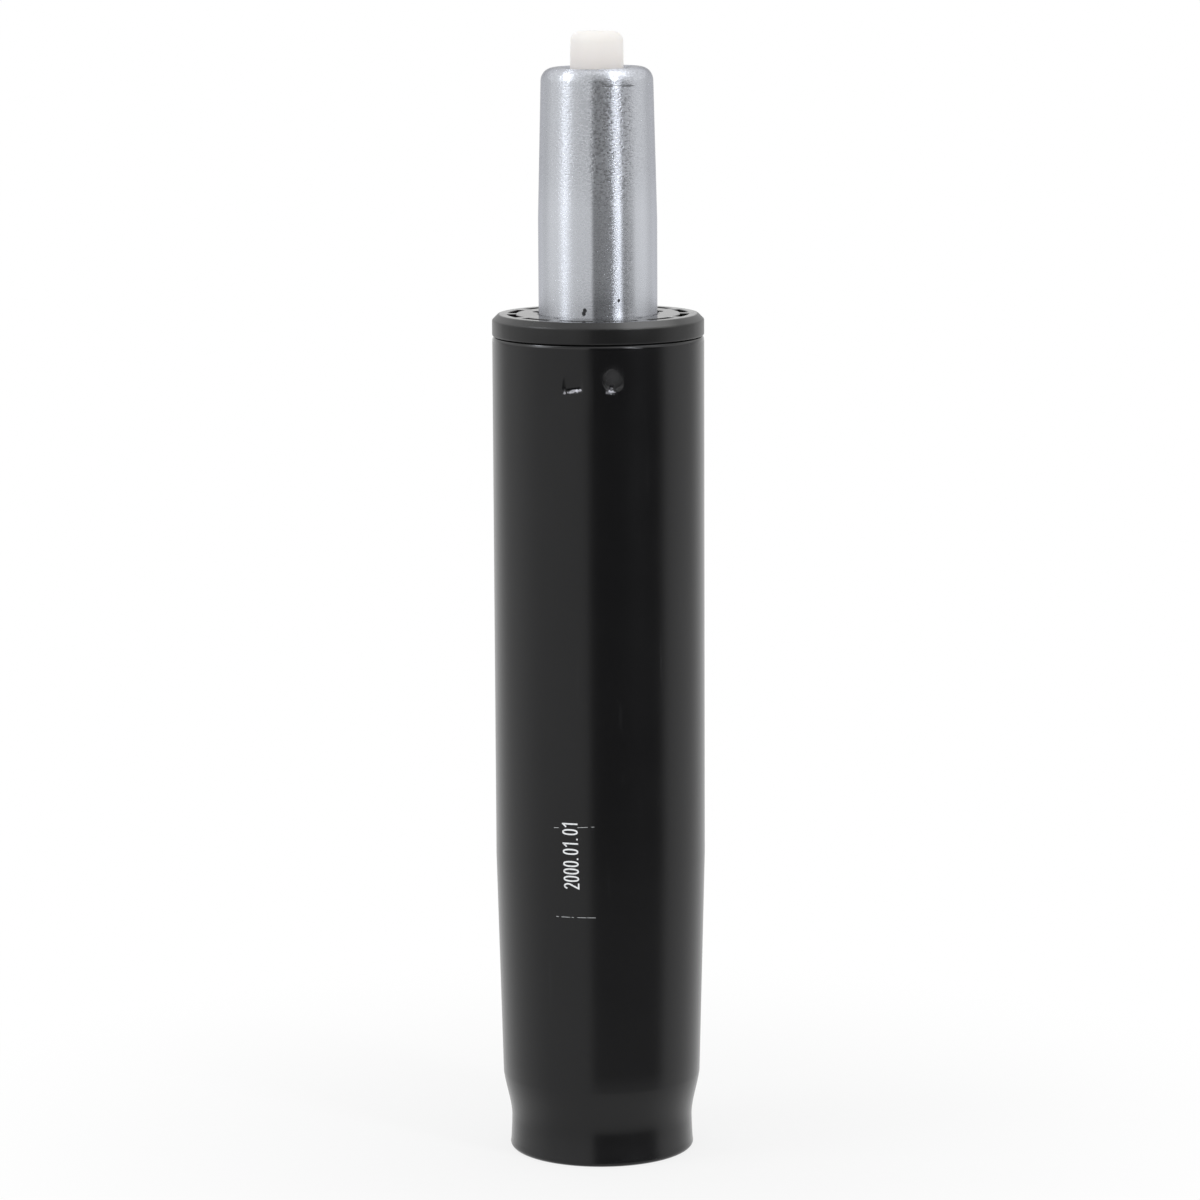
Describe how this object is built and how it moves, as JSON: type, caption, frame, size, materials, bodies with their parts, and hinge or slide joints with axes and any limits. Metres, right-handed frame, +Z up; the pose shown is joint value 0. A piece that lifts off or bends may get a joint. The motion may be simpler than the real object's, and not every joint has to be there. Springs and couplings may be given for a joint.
{
  "type": "chair gas lift cylinder",
  "caption": "Lockable gas lift for a swivel chair: black stand tube with base cone, steel column that slides and turns in a moulded bush, and a white release button on top.",
  "frame": {"origin": "centre of the foot rim, on the surface that the lift stands on", "axes": "+Z up along the cylinder's axis, -Y the side with the stakes that faces the picture's camera, +X to its right"},
  "size_m": [0.05, 0.05, 0.2675],
  "materials": {
    "black_coat": "satin black coat",
    "black_moulding": "moulded satin",
    "plate_steel": "zinc plated",
    "race_steel": "hardened and ground",
    "rod_chrome": "hard chrome",
    "piston_alloy": "turned",
    "band_plastic": "low friction band",
    "seal_rubber": "moulded rubber",
    "bump_rubber": "moulded rubber",
    "spring_steel": "blued spring steel",
    "cage_plastic": "moulded",
    "ball_steel": "polished",
    "column_steel": "ground and bright",
    "drawn_steel": "drawn tube",
    "guide_plastic": "moulded",
    "valve_brass": "turned",
    "white_nylon": "translucent natural nylon"
  },
  "bodies": {
    "stand": {"outer_tube": "black_coat", "guide_bush": "black_moulding", "bottom_plate": "plate_steel", "lower_race": "race_steel"},
    "rod": {"piston_rod": "rod_chrome", "piston": "piston_alloy", "piston_band": "band_plastic", "piston_seal": "seal_rubber", "piston_washer": "plate_steel", "upper_race": "race_steel", "bump_stop": "bump_rubber", "clip_washer": "plate_steel", "retaining_clip": "spring_steel"},
    "cage": {"ball_cage": "cage_plastic", "bearing_balls": "ball_steel"},
    "column": {"pressure_tube": "column_steel", "inner_tube": "drawn_steel", "seal_retainer": "plate_steel", "rod_seal": "seal_rubber", "rod_guide": "guide_plastic", "valve_body": "valve_brass", "valve_outer_seal": "seal_rubber", "valve_inner_seal": "seal_rubber", "valve_pin_seal": "seal_rubber"},
    "release": {"release_button": "white_nylon", "valve_pin": "rod_chrome"}
  },
  "joints": [
    {"name": "swivel", "type": "hinge", "parent": "stand", "child": "rod", "pos_m": [0, 0, 0.0202], "axis": [0, 0, 1], "continuous": true},
    {"name": "cage_spin", "type": "hinge", "parent": "stand", "child": "cage", "pos_m": [0, 0, 0.01705], "axis": [0, 0, 1], "continuous": true},
    {"name": "height_slide", "type": "slide", "parent": "rod", "child": "column", "axis": [0, 0, 1], "range_m": [0, 0.1]},
    {"name": "button_press", "type": "slide", "parent": "column", "child": "release", "axis": [0, 0, -1], "range_m": [0, 0.005], "stiffness_N_per_m": 1000, "springref_m": -0.01}
  ],
  "couplings": [
    {"joint": "cage_spin", "follows": "swivel", "ratio": 0.5}
  ]
}
